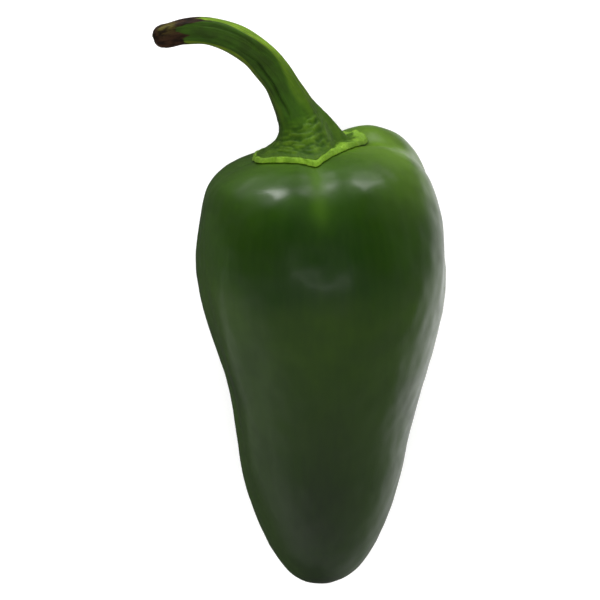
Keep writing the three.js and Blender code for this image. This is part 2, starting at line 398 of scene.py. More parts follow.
def rib_height(azimuth):
    """How far the stalk's ribs stand out, in millimetres."""
    total = 0
    for middle, height in STALK_RIBS:
        total = total + height * bump(turn(azimuth, middle), RIB_HALF_WIDTH)
    return total


def groove_depth(azimuth, length):
    """How deep the stalk's long grooves are, in millimetres."""
    length = length + np.zeros_like(azimuth)
    total = 0
    place = np.stack([length, 0 * length, 0 * length], -1)
    for middle, half_width, depth, start, end in GROOVES:
        stretch = smoothstep(length, start, start + 8) * (1 - smoothstep(length, end - 10, end))
        wander = 3 * ripple(place + (0, middle, 0), (7, 5, 7), 51)
        total = total + depth * stretch * bump(turn(azimuth, middle + wander), half_width)
    return total


def stalk_radius(length, azimuth):
    radii = [(radius, 0) for radius in STALK_RADII]
    radius = spline(radii, radii[0], radii[-1], length / STALK.length)[0][..., 0]
    ribs = rib_height(azimuth) * smoothstep(length, *RIB_GROWTH) * (radius / STALK_RADII[3])
    return radius - RIB_INSET + ribs


def neck_height(azimuth):
    """Where the flare ends and the stalk begins."""
    return NECK_HEIGHT + NECK_SLANT * np.cos(np.radians(azimuth))


def place_round(azimuth, radius, length):
    """A place round a straight stalk, for the seeded relief."""
    angle = np.radians(azimuth)
    return np.stack([np.cos(angle) * radius, length, np.sin(angle) * radius], -1)


def shrivel(around):
    """How the dried end's skin has shrunk and lifted, in millimetres."""
    return 0.07 * ripple(around, (2.6, 7, 2.6), 34) - 0.05


def colour_patch(azimuth, height, patch):
    """A soft mask round one azimuth that comes in between two heights."""
    middle, half_width, low, high = patch
    return bump(turn(azimuth, middle), half_width) * smoothstep(height, low, high)


# Meshes


def new_object(name, data):
    """A new object in the scene that holds a mesh, a light or a camera."""
    item = bpy.data.objects.new(name, data)
    bpy.context.scene.collection.objects.link(item)
    return item


def skin_mesh(name, rings, poles, attributes):
    """A closed mesh over rings of points with a pole at each end, with named values at its points."""
    rows, sides = rings.shape[:2]
    points = np.vstack([poles[0][None], rings.reshape(-1, 3), poles[1][None]]) * MM
    last = len(points) - 1
    grid = 1 + np.arange(rows * sides).reshape(rows, sides)
    right = np.roll(grid, -1, axis=1)
    quads = np.stack([grid[:-1], grid[1:], right[1:], right[:-1]], -1).reshape(-1, 4)
    faces = [(0, int(a), int(b)) for a, b in zip(grid[0], right[0])]
    faces += quads.tolist()
    faces += [(int(a), last, int(b)) for a, b in zip(grid[-1], right[-1])]
    mesh = bpy.data.meshes.new(name)
    mesh.from_pydata(points.tolist(), [], faces)
    for label, (ring_values, pole_values) in attributes.items():
        size = ring_values.shape[2] if ring_values.ndim == 3 else 1
        first, final = (np.reshape(value, (1, size)) for value in pole_values)
        column = np.vstack([first, ring_values.reshape(-1, size), final])
        kind = "FLOAT_VECTOR" if size == 3 else "FLOAT"
        field = "vector" if size == 3 else "value"
        layer = mesh.attributes.new(label, kind, "POINT")
        layer.data.foreach_set(field, column.astype(np.float32).ravel())
    mesh.shade_smooth()
    mesh.validate()
    return new_object(name, mesh)


def grown_place(azimuth, radius, height):
    """A place in the straight growth frame, in centimetres, for the materials' patterns."""
    angle = np.radians(azimuth)
    return np.stack([radius * np.cos(angle), radius * np.sin(angle), height], -1) / 10


def pod_piece(settings):
    """The pod's skin, with its soft unevenness, the puckers round the calyx and the scar at the tip."""
    sides = settings.pod_sides
    rows = settings.pod_rows
    place = np.linspace(1, 0, rows + 1)[1:-1, None] + np.zeros((1, sides))
    azimuth = np.zeros((rows - 1, 1)) + np.arange(sides) * 360 / sides
    base = pod_point(place, azimuth)
    radius = np.hypot(base[..., 0], base[..., 2])
    height = base[..., 1]
    step = place * (len(POD_OUTLINE) - 1)
    near_crown = step < len(CROWN_HEIGHTS)
    crown_radius = np.where(near_crown, step, len(CROWN_HEIGHTS)) * CROWN_STEP
    from_rim = np.where(near_crown, crown_radius - calyx_radius(azimuth), np.inf)
    clear_of_calyx = smoothstep(from_rim, 0, SMOOTH_BY_RIM)
    uneven = 0
    for wavelengths, seed, share in POD_LUMPS:
        uneven = uneven + settings.unevenness / MM * ripple(base, wavelengths, seed) * share
    wavelengths, seed, grain = POD_GRAIN
    uneven = uneven + grain * ripple(base, wavelengths, seed)
    folds = FOLDS * np.radians(azimuth) + FOLD_WANDER * ripple(base, (12, 12, 12), 13)
    pucker = settings.pucker / MM * bump(from_rim - FOLDS_AT[0], FOLDS_AT[1]) * np.cos(folds) * 0.5
    near_tip = height < TIP_BELOW
    dimple = TIP_DIMPLE[1] * (bump(radius, TIP_DIMPLE[0]) * near_tip)
    scar = TIP_SCAR[1] * bump(radius, TIP_SCAR[0]) * near_tip - dimple
    rings = lay_down(pod_point(place, azimuth, uneven * clear_of_calyx + pucker + scar))
    poles = []
    for at, lift in ((1.0, TIP_SCAR[1] - TIP_DIMPLE[1]), (0.0, 0)):
        poles.append(lay_down(pod_point(np.array(at), np.array(0.0), np.array(lift))))
    on_crown = step * CROWN_STEP < CROWN_EDGE
    furrow = furrow_depth(azimuth, np.minimum(crown_radius, radius), height, on_crown)
    attributes = {
        "grown": (grown_place(azimuth, radius, height), ((0, 0, 0), (0, 0, POD_LENGTH / 10))),
        "furrow": (furrow / DEEPEST_FURROW, (0, 0)),
        "collar": (bump(np.maximum(from_rim, 0), COLLAR_WIDTH), (0, 1)),
        "streak": (colour_patch(azimuth, height, PALE_STREAK), (0, 0)),
        "pale": (colour_patch(azimuth, height, PALE_LOBE), (0, 0)),
        # Painted light: the flanks are lighter, as if lit from the sides.
        "flank_light": (1 - bump(turn(azimuth, FRONT[0]), FRONT[1]), (0, 0)),
        "scar": (bump(radius, SCAR_COLOUR_WIDTH) * near_tip, (1, 0)),
    }
    return skin_mesh("pod_skin", rings, poles, attributes)


def stem_rows(settings):
    """Every ring of the stem's skin: points, and what each point belongs to."""
    sides = settings.stem_sides
    azimuth = np.arange(sides) * 360 / sides
    angle = np.radians(azimuth)
    middle, half_width, shorter = BLUNT_CORNER
    rim = calyx_radius(azimuth) - shorter * bump(turn(azimuth, middle), half_width)
    corner = 0
    for middle, half_width, lift in TURNED_CORNERS:
        corner = corner + lift * bump(turn(azimuth, middle), half_width)
    around_rim = place_round(azimuth, RIM_REACH, azimuth * 0)
    wave = 0.08 * ripple(around_rim, (5, 5, 5), 23) + 0.07 * ripple(around_rim, (1.6, 1.6, 1.6), 24)
    uneven_rim = 1 + 0.09 * ripple(around_rim, (2.2, 2.2, 2.2), 26)
    ragged = 0.22 * ripple(around_rim, (3, 3, 3), 25)
    rows = []

    def keep(points, **marks):
        marks = {name: np.broadcast_to(value, sides) for name, value in marks.items()}
        rows.append((points, marks))

    def seated(radius, lift):
        return along_stalk(*seat_point(radius, azimuth, lift).T)

    def keep_round(radius, length, groove):
        keep(along_stalk(radius * np.cos(angle), length, radius * np.sin(angle)),
             radius=radius, length=length, rim=0, flare=0, groove=groove)

    for share in np.linspace(0, 1, RIM_ROWS)[1:-1]:
        lift = blend(0, RIM_LIFT, share ** 3) + corner * share ** 4
        keep(seated(rim * share, lift), radius=rim * share, length=0, rim=0.5, flare=0, groove=0)
    middle, half_width, extra = WIDE_BAND
    widened = bump(turn(azimuth, middle), half_width)
    band = BAND_WIDTH + extra * widened
    # Painted shade: the rim colour is held back on the wide band, which faces the light.
    rim_tone = 1 - WIDE_BAND_SHADE * widened
    for out, lift in RIM_SECTION:
        keep(seated(rim + wave + out, RIM_LIFT + corner + lift * RIM_THICKNESS * uneven_rim),
             radius=rim, length=lift, rim=rim_tone, flare=0, groove=0)

    neck_at = neck_height(azimuth)
    neck = stalk_radius(neck_at, azimuth)
    foot_radius = rim - band
    for share in np.linspace(0, 1, RIM_ROWS)[1:-1]:
        radius = blend(rim + RIM_SECTION[-1][0], foot_radius, share)
        lift = RIM_LIFT + RIM_THICKNESS * blend(uneven_rim, RIM_CREST, share) + corner * (1 - share) ** 2
        inner_edge = share + ragged - 0.3 * rim_tone
        keep(seated(radius, lift), radius=radius, length=1,
             rim=rim_tone * (1 - smoothstep(inner_edge, 0.2, 0.85)), flare=share, groove=0)

    lift = RIM_LIFT + RIM_THICKNESS * RIM_CREST
    fullness = FLARE_FULLNESS[0] + FLARE_FULLNESS[1] * np.cos(angle)
    middle, half_width, behind = WRINKLED_FRONT
    in_front = behind + (1 - behind) * bump(turn(azimuth, middle), half_width)
    for share in np.linspace(0, 1, FLARE_ROWS):
        sweep = share * np.pi / 2
        inward = np.sin(sweep) ** fullness
        downward = np.maximum(np.cos(sweep), 0) ** fullness
        radius = blend(foot_radius, neck, inward)
        foot = seat_point(radius, azimuth, lift)
        foot_height = blend(foot[:, 1], lift + FLARE_LIFT, inward)
        height = blend(neck_at, foot_height, downward)
        spread = radius / np.hypot(foot[:, 0], foot[:, 2])
        place = np.stack([foot[:, 0] * spread, height, foot[:, 2] * spread], -1)
        lumpy = smoothstep(share, 0.02, 0.2) * (1 - smoothstep(share, 0.55, 1)) * in_front
        lumps = settings.wrinkle / MM * lumpy * ripple(place, (5.5, 1.5, 5.5), 21)
        lumps = lumps + 0.5 * settings.wrinkle / MM * lumpy * ripple(place, (2.2, 0.8, 2.2), 22)
        across = 1 + (lumps * np.sin(sweep)) / radius
        # The groove mark here gives the flare's hollows painted shade and its raised wrinkles painted
        # highlight.
        keep(along_stalk(place[:, 0] * across, height + lumps * np.cos(sweep), place[:, 2] * across),
             radius=radius, length=height, rim=0, flare=1 - smoothstep(share, 0.4, 1), groove=-0.4 * lumps)

    for share in np.linspace(0, 1, STALK_ROWS + 1)[1:]:
        length = blend(neck_at, STALK.length, share)
        around = place_round(azimuth, STALK_REACH, length)
        groove = groove_depth(azimuth, length)
        fine = 0.05 * ripple(around, (1.5, 26, 1.5), 31) + 0.03 * ripple(around, (0.8, 14, 0.8), 32)
        uneven = 0.08 * ripple(around, (9, 12, 9), 33)
        dried = smoothstep(length, STALK.length - 9, STALK.length - 2)
        relief = fine + uneven + dried * shrivel(around)
        radius = stalk_radius(length, azimuth) - groove + relief * smoothstep(share, 0, 0.08)
        # The groove mark gives the stalk's grooves painted shade.
        keep_round(radius, length, groove / FULL_GROOVE - rib_height(azimuth))

    around = place_round(azimuth, STALK_REACH, np.full(sides, STALK.length))
    edge = stalk_radius(np.full(sides, STALK.length), azimuth) + shrivel(around)
    ragged_end = 0.1 * ripple(place_round(azimuth, STALK_REACH, azimuth * 0), (3, 3, 3), 35)
    for row in range(1, END_ROWS + 1):
        sweep = row / END_ROWS * np.pi / 2
        radius = edge - END_ROUNDING * (1 - np.cos(sweep))
        keep_round(radius, STALK.length + (END_ROUNDING + ragged_end) * np.sin(sweep), EDGE_DARKNESS)
    for share in np.linspace(1, 0, DISH_ROWS)[1:-1]:
        past_end = END_ROUNDING - END_DISH * (1 - share ** 2) + ragged_end * share
        keep_round((edge - END_ROUNDING) * share, STALK.length + past_end, DISH_DARKNESS)
    return azimuth, rows


def stalk_band(azimuth, marks, band, seed):
    """Where a colour band runs along the stalk, with wandering edges, wider near the calyx."""
    length = marks["length"]
    start, end, widening = band
    wander = 4 * ripple(np.stack([length, length * 0, length * 0], -1), (14, 14, 14), seed)
    wider = widening * (1 - smoothstep(length, 12, 32))
    from_middle = np.abs(turn(azimuth[None, :] + wander, (start + end + wider) / 2))
    half = (end - start + wider) / 2
    inside = 1 - smoothstep(from_middle, half - 3 - wider / 3, half + 4 + wider / 3)
    return inside * smoothstep(length, 6, 14)


def dried_share(azimuth, from_end):
    """How dried the stalk is, 0 to 1, with a ragged edge near its cut end."""
    place = place_round(azimuth + from_end * 0, STALK_REACH, from_end)
    reach = DRIED_REACH + 0.9 * ripple(place, (3, 12, 3), 43) + 0.35 * ripple(place, (1.1, 2.2, 1.1), 44)
    middle, half_width, extra = DRIED_STREAK
    reach = reach + extra * smoothstep(bump(turn(azimuth, middle), half_width), 0.3, 0.6)
    middle, half_width, less = GREEN_STRIP
    reach = reach - less * bump(turn(azimuth, middle), half_width)
    return smoothstep(reach - from_end, -0.35, 0.35)


def stem_piece(settings):
    """The calyx and stalk in one skin: turned rim, wrinkled flare, ribbed stalk and dried end."""
    azimuth, rows = stem_rows(settings)
    rings = np.array([points for points, _ in rows])
    marks = {name: np.array([row[name] for _, row in rows]) for name in rows[0][1]}
    end = STALK.length + END_ROUNDING
    centre = np.zeros(1)
    poles = [
        along_stalk(*seat_point(centre, centre, centre).T)[0],
        along_stalk(centre, centre + end - END_DISH, centre)[0],
    ]
    grown = grown_place(azimuth + 0 * marks["radius"], marks["radius"], marks["length"])
    start, full, least = BANDS_FADE
    fading = blend(least, 1, smoothstep(marks["length"], start, full))
    from_end = end - marks["length"]
    middle, half_width = OLIVE_STRIP
    olive = bump(turn(azimuth, middle), half_width)
    olive = olive * smoothstep(from_end, 1, 2.5) * smoothstep(from_end, 7, 5)
    attributes = {
        "grown": (grown, ((0, 0, 0), (0, 0, end / 10))),
        "rim": (marks["rim"], (0, 0)),
        "flare": (marks["flare"], (0, 0)),
        "groove": (marks["groove"], (0, DISH_DARKNESS)),
        "outer": (stalk_band(azimuth, marks, OUTER_BAND, 41) * fading, (0, 0)),
        "inner": (stalk_band(azimuth, marks, INNER_BAND, 42) * fading, (0, 0)),
        "olive": (olive, (0, 0)),
        "dried": (dried_share(azimuth, from_end), (0, 1)),
    }
    return skin_mesh("stem_and_calyx_skin", rings, poles, attributes)


# Materials


def add(tree, kind, values=None, **settings):
    """Adds a node, sets its properties, and sets or links its inputs by name or number."""
    node = tree.nodes.new(kind)
    for name, value in settings.items():
        setattr(node, name, value)
    for name, value in (values or {}).items():
        if isinstance(value, bpy.types.NodeSocket):
            tree.links.new(value, node.inputs[name])
        else:
            node.inputs[name].default_value = value
    return node


def mix(tree, share, first, second):
    """Mixes two colours, which are the node's inputs 6 and 7, and returns the result's socket."""
    def colour(value):
        return value if isinstance(value, bpy.types.NodeSocket) else (*value, 1)[:4]
    values = {0: share, 6: colour(first), 7: colour(second)}
    return add(tree, "ShaderNodeMix", values, data_type="RGBA").outputs[2]


def calculate(tree, operation, first, second=0.0, clamp=False):
    values = {0: first, 1: second}
    return add(tree, "ShaderNodeMath", values, operation=operation, use_clamp=clamp).outputs[0]


def times(tree, first, second):
    return calculate(tree, "MULTIPLY", first, second)


def remap(tree, value, low, high, to_low=0.0, to_high=1.0):
    """A value moved from one range to another, smoothly and within its ends."""
    values = {"Value": value, "From Min": low, "From Max": high, "To Min": to_low, "To Max": to_high}
    node = add(tree, "ShaderNodeMapRange", values, interpolation_type="SMOOTHSTEP")
    return node.outputs["Result"]


def attribute(tree, name, output="Fac"):
    """A named value of the mesh's points."""
    return add(tree, "ShaderNodeAttribute", attribute_name=name).outputs[output]


def part_of(tree, name, most):
    """A mask of the mesh, with this as its greatest value."""
    return times(tree, attribute(tree, name), most)


def between(tree, value, rise, fall):
    """A mask that rises between two values and falls between two others."""
    return times(tree, remap(tree, value, *rise), remap(tree, value, *fall))


def noise(tree, place, scale, detail=3.0, roughness=0.5, stretch=(1, 1, 1)):
    """Noise of a size given per centimetre, stretched along the growth axes."""
    scaled = add(tree, "ShaderNodeVectorMath", {0: place, 1: stretch}, operation="MULTIPLY").outputs[0]
    values = {"Vector": scaled, "Scale": scale, "Detail": detail, "Roughness": roughness}
    return add(tree, "ShaderNodeTexNoise", values, noise_dimensions="3D").outputs["Fac"]


def new_group(name, inputs, outputs):
    """An empty shader node group with these sockets, and its input and output nodes."""
    group = bpy.data.node_groups.new(name, "ShaderNodeTree")
    for label, kind, default in inputs:
        socket = group.interface.new_socket(label, in_out="INPUT", socket_type="NodeSocket" + kind)
        if default is not None:
            socket.default_value = default
    for label, kind in outputs:
        group.interface.new_socket(label, in_out="OUTPUT", socket_type="NodeSocket" + kind)
    return group, group.nodes.new("NodeGroupInput"), group.nodes.new("NodeGroupOutput")


def mottling_group():
    """Soft cloudy patches of a second colour, as in living plant skin."""
    inputs = (
        ("Place", "Vector", None),
        ("Colour", "Color", (0.1, 0.1, 0.1, 1)),
        ("Patch Colour", "Color", (0.1, 0.1, 0.1, 1)),
        ("Patches per cm", "Float", 0.8),
        ("Amount", "Float", 0.5),
    )
    group, given, result = new_group("Plant mottling", inputs, (("Colour", "Color"),))
    place = given.outputs["Place"]
    broad = noise(group, place, given.outputs["Patches per cm"], 4.0, 0.55)
    patch = remap(group, broad, 0.4, 0.66)
    share = times(group, patch, given.outputs["Amount"])
    coloured = mix(group, share, given.outputs["Colour"], given.outputs["Patch Colour"])
    group.links.new(coloured, result.inputs["Colour"])
    return group


def fibre_group():
    """Fine streaks that run along the growth direction, as a mask and a height."""
    inputs = (
        ("Place", "Vector", None),
        ("Streaks per cm", "Float", 8.0),
        ("Sharpness", "Float", 0.12),
    )
    outputs = (("Mask", "Float"), ("Height", "Float"))
    group, given, result = new_group("Growth fibres", inputs, outputs)
    streaks = noise(group, given.outputs["Place"], given.outputs["Streaks per cm"], 4.0, 0.6, (1, 1, 0.09))
    low = calculate(group, "SUBTRACT", 0.5, given.outputs["Sharpness"])
    high = calculate(group, "ADD", 0.5, given.outputs["Sharpness"])
    group.links.new(remap(group, streaks, low, high), result.inputs["Mask"])
    group.links.new(streaks, result.inputs["Height"])
    return group


def dried_group():
    """Tissue that has dried brown, darker in its cracks and paler on its high spots."""
    inputs = (
        ("Place", "Vector", None),
        ("Share", "Float", 0.0),
        ("Fresh Colour", "Color", (0.1, 0.1, 0.1, 1)),
        ("Dried Colour", "Color", (0.05, 0.03, 0.01, 1)),
        ("Crack Colour", "Color", (0.01, 0.01, 0.01, 1)),
    )
    group, given, result = new_group("Dried tissue", inputs, (("Colour", "Color"),))
    grain = noise(group, given.outputs["Place"], 9.0, 5.0, 0.65, (1, 1, 0.35))
    cracks = remap(group, grain, 0.36, 0.6)
    dried = mix(group, cracks, given.outputs["Crack Colour"], given.outputs["Dried Colour"])
    whole = mix(group, given.outputs["Share"], given.outputs["Fresh Colour"], dried)
    group.links.new(whole, result.inputs["Colour"])
    return group


def use_group(tree, group, values):
    return add(tree, "ShaderNodeGroup", values, node_tree=group).outputs


def plant_groups():
    """The three effects that both skins use, made once."""
    makers = {"Plant mottling": mottling_group, "Growth fibres": fibre_group, "Dried tissue": dried_group}
    return [bpy.data.node_groups.get(name) or make() for name, make in makers.items()]


def empty_tree(holder):
    """The emptied node tree of a material or a world."""
    holder.use_nodes = True
    holder.node_tree.nodes.clear()
    return holder.node_tree


def new_material(name):
    material = bpy.data.materials.new(name)
    return material, empty_tree(material)


def finish_surface(tree, values):
    """The material's shader, with these values, joined to its output."""
    shader = add(tree, "ShaderNodeBsdfPrincipled", values)
    add(tree, "ShaderNodeOutputMaterial", {"Surface": shader.outputs["BSDF"]})


def pod_material(settings):
    """Waxy dark green skin: yellower at the crown and in the furrows, bluer to the tip, finely pored, with
    painted shade in a band under the shoulder and painted light on the flanks.
    """
    material, tree = new_material("pod_skin")
    mottling, fibres, dried = plant_groups()
    grown = attribute(tree, "grown", "Vector")
    height = add(tree, "ShaderNodeSeparateXYZ", {0: grown}).outputs["Z"]
    wander = noise(tree, grown, 0.5, 2.0)
    uneven_height = calculate(tree, "ADD", height, times(tree, wander, 2.4))
    body = settings.pod_tip_colour
    # Colours by height from the tip up; the deep band under the shoulder is painted shade, where the skin
    # reflects little light.
    for low, high, colour in (
        (3.2, 9.4, settings.pod_colour),
        (8.9, 10.1, settings.deep_shade_colour),
        (11.2, 12.8, settings.shoulder_colour),
    ):
        body = mix(tree, remap(tree, uneven_height, low, high), body, colour)
    # Painted light on the flanks, as if lit from the sides.
    body = mix(tree, part_of(tree, "flank_light", 0.8), body, settings.flank_light_colour)
    narrow = calculate(tree, "POWER", attribute(tree, "furrow"), 2.2)
    furrow = times(tree, times(tree, narrow, remap(tree, height, 10.2, 11.6)), 0.95)
    furrow = calculate(tree, "ADD", furrow, part_of(tree, "streak", 0.45), clamp=True)
    body = mix(tree, furrow, body, settings.furrow_colour)
    body = mix(tree, part_of(tree, "pale", 0.9), body, settings.pale_colour)
    body = mix(tree, part_of(tree, "collar", 0.3), body, settings.furrow_colour)
    clouded = use_group(tree, mottling, {
        "Place": grown, "Colour": body, "Patch Colour": (*settings.pod_patch_colour, 1),
        "Patches per cm": 0.55, "Amount": 0.45,
    })["Colour"]
    streaks = use_group(tree, fibres, {"Place": grown, "Streaks per cm": 7.0, "Sharpness": 0.16})
    clouded = mix(tree, times(tree, streaks["Mask"], 0.03), clouded, settings.furrow_colour)
    coloured = use_group(tree, dried, {
        "Place": grown, "Share": attribute(tree, "scar"), "Fresh Colour": clouded,
        "Dried Colour": (*settings.dried_colour, 1), "Crack Colour": (*settings.crack_colour, 1),
    })["Colour"]
    pores = noise(tree, grown, 30.0, 2.0, 0.5)
    waxy = noise(tree, grown, 2.2, 5.0, 0.6)
    height_field = calculate(tree, "ADD", times(tree, pores, 0.25), streaks["Height"])
    relief = add(tree, "ShaderNodeBump", {"Strength": 0.1, "Distance": 0.0002, "Height": height_field})
    finish_surface(tree, {
        "Base Color": coloured,
        "Roughness": remap(tree, waxy, 0.25, 0.75, 0.34, 0.44),
        "IOR": 1.45,
        "Specular IOR Level": 0.3,
        "Coat Weight": 0.2,
        "Coat Roughness": 0.2,
        "Coat IOR": 1.45,
        "Subsurface Weight": 0.04,
        "Subsurface Radius": (0.6, 1.0, 0.25),
        "Subsurface Scale": 0.002,
        "Normal": relief.outputs["Normal"],
    })
    return material


def stem_material(settings):
    """Satin green tissue: a light rim, painted light along the stalk's outer side, painted shade in its
    grooves, a wrinkled flare with painted highlights on its wrinkles and painted shade between them, and a
    dried brown end.
    """
    material, tree = new_material("stem_skin")
    mottling, fibres, dried = plant_groups()
    grown = attribute(tree, "grown", "Vector")
    groove = attribute(tree, "groove")
    facet = noise(tree, grown, 1.6, 4.0, 0.6, (1, 1, 0.3))
    body = mix(tree, remap(tree, facet, 0.38, 0.62), settings.stalk_colour, settings.flare_colour)
    # Painted light along the stalk's outer side, which faces the light from the stem's side.
    body = mix(tree, attribute(tree, "outer"), body, settings.ridge_highlight_colour)
    body = mix(tree, part_of(tree, "inner", 0.8), body, settings.inner_colour)
    # Painted shade in the stalk's grooves.
    body = mix(tree, remap(tree, groove, 0.1, 0.8, 0.0, 0.8), body, settings.groove_shade_and_fibre_colour)
    # Painted highlight on the flare's raised wrinkles and painted shade in its hollows.
    flare = mix(tree, remap(tree, groove, -0.08, 0.08), settings.ridge_highlight_colour, settings.groove_shade_and_fibre_colour)
    flare = mix(tree, 0.32, settings.flare_colour, flare)
    body = mix(tree, attribute(tree, "flare"), body, flare)
    streaks = use_group(tree, fibres, {"Place": grown, "Streaks per cm": 10.0, "Sharpness": 0.1})
    body = mix(tree, times(tree, streaks["Mask"], 0.26), body, settings.groove_shade_and_fibre_colour)
    rim_light = noise(tree, grown, 7.0, 4.0, 0.65)
    rim_colour = mix(tree, remap(tree, rim_light, 0.35, 0.65), settings.rim_colour, settings.rim_pale_colour)
    body = mix(tree, remap(tree, attribute(tree, "rim"), 0.2, 0.8), body, rim_colour)
    clouded = use_group(tree, mottling, {
        "Place": grown, "Colour": body, "Patch Colour": (*settings.flare_colour, 1),
        "Patches per cm": 3.4, "Amount": 0.4,
    })["Colour"]
    share = attribute(tree, "dried")
    dried_colour = mix(tree, part_of(tree, "olive", 0.85), settings.dried_colour, settings.olive_colour)
    coloured = use_group(tree, dried, {
        "Place": grown, "Share": share, "Fresh Colour": clouded,
        "Dried Colour": dried_colour, "Crack Colour": (*settings.crack_colour, 1),
    })["Colour"]
    grain = noise(tree, grown, 16.0, 4.0, 0.6, (1, 1, 0.3))
    height_field = calculate(tree, "ADD", times(tree, grain, 0.6), streaks["Height"])
    relief = add(tree, "ShaderNodeBump", {"Strength": 0.35, "Distance": 0.0004, "Height": height_field})
    finish_surface(tree, {
        "Base Color": coloured,
        "Roughness": remap(tree, share, 0.0, 1.0, 0.48, 0.6),
        "IOR": 1.45,
        "Specular IOR Level": 0.12,
        "Subsurface Weight": 0.05,
        "Subsurface Radius": (0.7, 1.0, 0.3),
        "Subsurface Scale": 0.0015,
        "Normal": relief.outputs["Normal"],
    })
    return material


def floor_material(settings):
    """Plain pale matt board with the faintest unevenness that glows evenly, and painted reflection patches
    that only gloss sees.
    """
    material, tree = new_material("pale_floor")
    place = add(tree, "ShaderNodeTexCoord").outputs["Object"]
    shade = noise(tree, place, 3.0, 2.0)
    cloud = (0.7, 0.7, 0.7)
    base = mix(tree, remap(tree, shade, 0.3, 0.7, 0.0, 0.03), settings.floor_colour, cloud)

    # Painted reflections: what the pepper's gloss sees of the floor, bright patches on its right and past
    # its left and cards past its stem, which glow in gloss only.
    axes = add(tree, "ShaderNodeSeparateXYZ", {0: place}).outputs
    to_right = between(tree, axes["X"], (0.0, 0.05), (0.2, 0.1))
    past_left = remap(tree, axes["X"], -0.05, -0.1)
    past_left = times(tree, past_left, remap(tree, axes["Y"], -0.02, -0.055, 0.05, 0.8))
    lit = calculate(tree, "MAXIMUM", to_right, past_left)
    lit = times(tree, lit, remap(tree, axes["Y"], 0.07, 0.045))
    lit = times(tree, lit, remap(tree, axes["Y"], -0.1, -0.02, 0.4, 1.0))
    bearing = calculate(tree, "DIVIDE", axes["X"], axes["Y"])
    left_card = between(tree, bearing, (-0.58, -0.45), (-0.18, -0.28))
    right_card = between(tree, bearing, (0.08, 0.18), (0.6, 0.45))
    cards = calculate(tree, "ADD", left_card, right_card)
    cards = times(tree, cards, remap(tree, axes["Y"], 0.14, 0.2))
    lit = calculate(tree, "ADD", lit, times(tree, cards, 0.8), clamp=True)
    in_gloss = mix(tree, lit, settings.floor_dim_gloss, settings.floor_lit_gloss)
    glossy_ray = add(tree, "ShaderNodeLightPath").outputs["Is Glossy Ray"]
    base = mix(tree, glossy_ray, base, in_gloss)
    gloss_glow = mix(tree, lit, (0, 0, 0), (0.5, 0.5, 0.5))
    glow = mix(tree, glossy_ray, (1, 1, 1), gloss_glow)
    finish_surface(tree, {
        "Base Color": base, "Roughness": 0.8, "Emission Color": glow, "Emission Strength": FLOOR_GLOW,
    })
    return material


# Stage


def area_light(name, place, size, power, in_gloss):
    """A soft rectangular light that faces the pepper, in metres and watts."""
    light = bpy.data.lights.new(name, "AREA")
    light.shape = "RECTANGLE"
    light.size, light.size_y = size
    light.energy = power
    lamp = new_object(name, light)
    lamp.location = place
    lamp.rotation_euler = (Vector(LIGHT_TARGET) - Vector(place)).to_track_quat("-Z", "Y").to_euler()
    lamp.visible_glossy = in_gloss


def build_surroundings(settings):
    """What the pepper's gloss sees round it: darker over the stem's side, lighter over the tip's."""
    world = bpy.data.worlds.new("studio_surround")
    tree = empty_tree(world)
    direction = add(tree, "ShaderNodeTexCoord").outputs["Generated"]
    axes = add(tree, "ShaderNodeSeparateXYZ", {0: direction}).outputs
    to_stem = remap(tree, axes["Y"], -0.36, -0.16)
    above = mix(tree, to_stem, settings.tip_side_colour, settings.stem_side_colour)
    to_right = remap(tree, axes["X"], -0.6, 0.6)
    at_tip = mix(tree, to_right, settings.left_tip_colour, settings.right_tip_colour)
    at_stem = mix(tree, to_right, settings.left_colour, settings.right_colour)
    level = mix(tree, remap(tree, axes["Y"], -0.6, -0.15), at_tip, at_stem)
    colour = mix(tree, remap(tree, axes["Z"], 0.0, 0.65), level, above)
    background = add(tree, "ShaderNodeBackground", {"Color": colour, "Strength": 1.0})
    add(tree, "ShaderNodeOutputWorld", {"Surface": background.outputs["Background"]})
    bpy.context.scene.world = world
    bpy.context.scene.view_settings.view_transform = "Standard"


def place_camera():
    target = Vector(VIEW_TARGET) * MM
    back = Vector((0, math.sin(VIEW_LEAN), math.cos(VIEW_LEAN)))
    camera_data = bpy.data.cameras.new("camera")
    camera_data.sensor_width = SENSOR_WIDTH
    camera_data.lens = SENSOR_WIDTH * VIEW_DISTANCE / VIEW_WIDTH
    camera_data.clip_start = 0.01
    camera = new_object("camera", camera_data)
    camera.location = target + back * VIEW_DISTANCE * MM
    camera.rotation_euler = (-VIEW_LEAN, 0, 0)
    bpy.context.scene.camera = camera


def build_stage(settings):
    """The floor, the lights, the surroundings and the camera."""
    half = settings.floor_size / 2
    corners = [(-half, -half, 0), (half, -half, 0), (half, half, 0), (-half, half, 0)]
    mesh = bpy.data.meshes.new("floor")
    mesh.from_pydata(corners, [], [(0, 1, 2, 3)])
    mesh.materials.append(floor_material(settings))
    floor = new_object("floor", mesh)

    for name, place, size, share, in_gloss in LIGHTS:
        area_light(name, place, size, settings.light_power * share, in_gloss)
    build_surroundings(settings)
    place_camera()


# Add-on


def colour_property(name, description, screen_colour):
    default = srgb(*screen_colour)
    return bpy.props.FloatVectorProperty(
        name=name, description=description, subtype="COLOR", size=3, min=0, max=1, default=default)


def count_property(name, description, default):
    return bpy.props.IntProperty(name=name, description=description, default=default, min=24)


def relief_property(name, description, millimetres):
    return bpy.props.FloatProperty(
        name=name, description=description, default=millimetres * MM, min=0, unit="LENGTH", precision=5)


